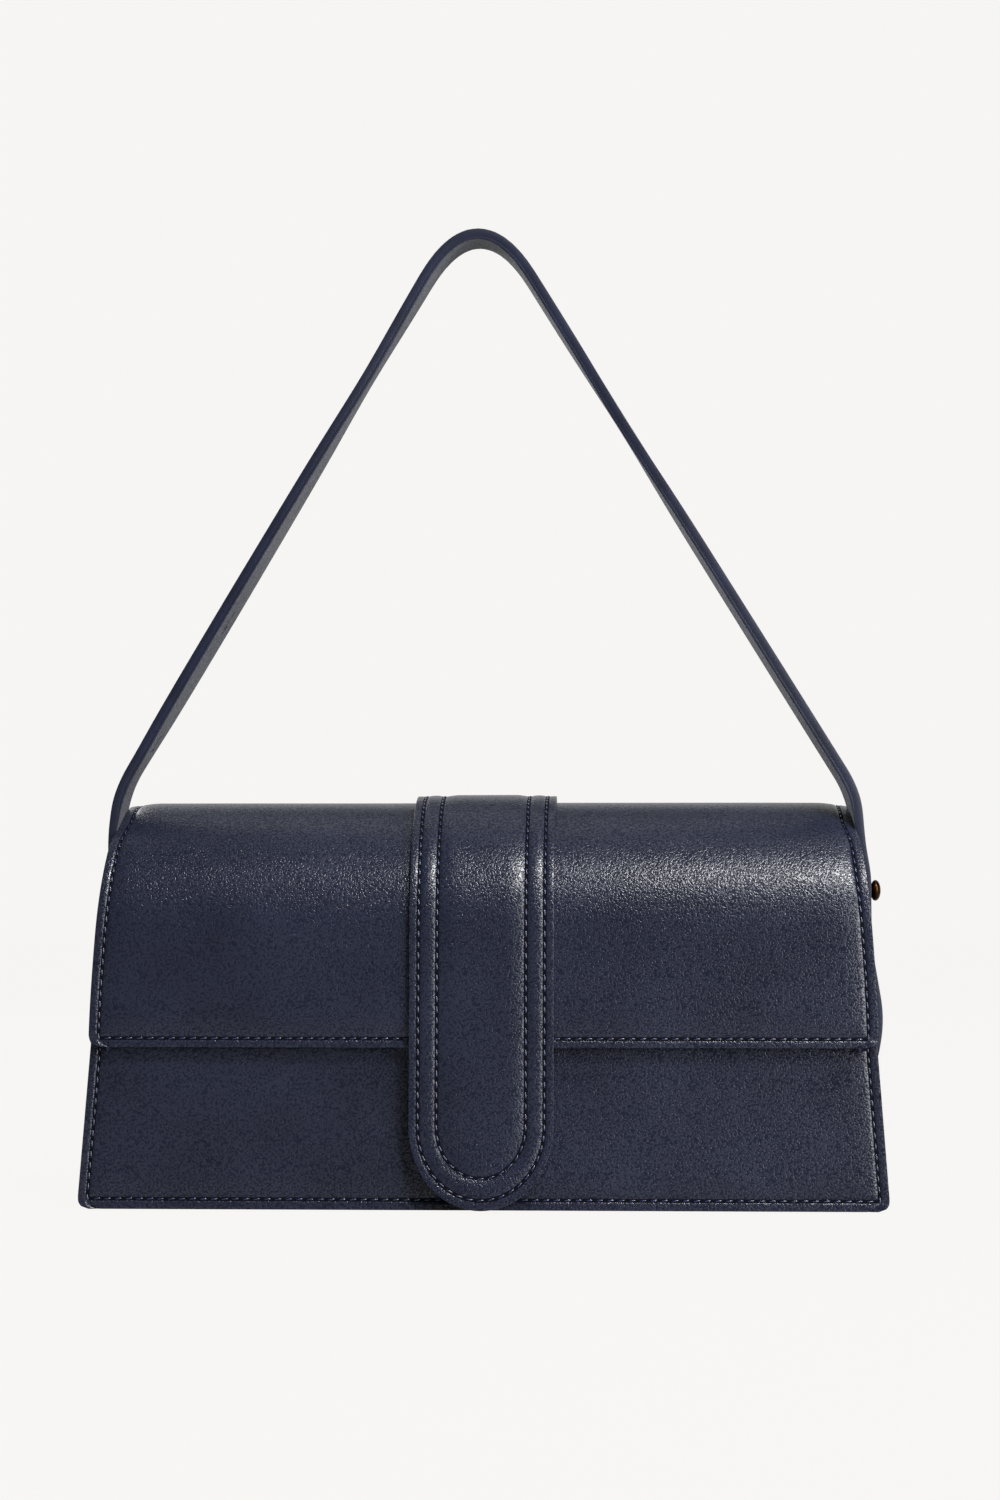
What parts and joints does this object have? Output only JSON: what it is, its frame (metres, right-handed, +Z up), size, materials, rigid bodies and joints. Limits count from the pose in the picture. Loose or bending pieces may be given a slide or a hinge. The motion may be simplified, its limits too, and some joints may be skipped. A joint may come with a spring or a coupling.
{
  "type": "baguette bag",
  "caption": "Long low shoulder bag with a curved front flap, a padded centre band ending in a snap tab, and one shoulder strap on two collar studs.",
  "frame": {"origin": "middle of the base's underside", "axes": "+Z up, towards the strap's top; the front with the flap faces -Y; +X to the right"},
  "size_m": [0.2798, 0.0708, 0.3445],
  "materials": {
    "leather": "fine pebble grain, semi-matt",
    "dark_leather": "smooth, semi-matt",
    "strap_backing": "smooth grey, matt",
    "lining": "plain weave",
    "board": "matt",
    "padding": "foam felt",
    "brass": "antique polished",
    "steel": "plated"
  },
  "bodies": {
    "body": {"front_panel": "leather", "front_stiffener": "board", "front_lining": "lining", "front_facing": "dark_leather", "back_panel": "leather", "back_stiffener": "board", "back_lining": "lining", "back_facing": "dark_leather", "base_panel": "leather", "base_board": "board", "base_lining": "lining", "left_gusset": "leather", "left_gusset_lining": "lining", "right_gusset": "leather", "right_gusset_lining": "lining", "slip_pocket": "lining", "flap_hem": "leather", "band_hem": "leather", "snap_socket": "brass", "socket_washer": "steel", "left_stud": "brass", "left_stud_screw": "brass", "right_stud": "brass", "right_stud_screw": "brass"},
    "flap": {"flap_crown": "leather", "crown_lining": "lining", "band_crown": "leather"},
    "front": {"flap_front": "leather", "flap_stiffener": "board", "flap_lining": "lining", "band_front": "leather", "band_padding": "padding"},
    "tab": {"tab_face": "leather", "tab_padding": "padding", "tab_backing": "dark_leather", "snap_plug": "brass", "plug_washer": "steel"},
    "strap": {"strap_leather": "leather", "strap_core": "board", "strap_lining": "strap_backing"}
  },
  "joints": [
    {"name": "flap_lift", "type": "hinge", "parent": "body", "child": "flap", "pos_m": [0, 0.0278, 0.136], "axis": [-1, 0, 0], "range_deg": [0, 8]},
    {"name": "flap_open", "type": "hinge", "parent": "flap", "child": "front", "pos_m": [0, -0.0162, 0.12917], "axis": [-1, 0, 0], "range_deg": [0, 110]},
    {"name": "tab_lift", "type": "hinge", "parent": "front", "child": "tab", "pos_m": [0, -0.0348, 0.056], "axis": [-1, 0, 0], "range_deg": [0, 40]},
    {"name": "strap_swing", "type": "hinge", "parent": "body", "child": "strap", "pos_m": [0, 0, 0.11], "axis": [-1, 0, 0], "range_deg": [-15, 15]}
  ]
}
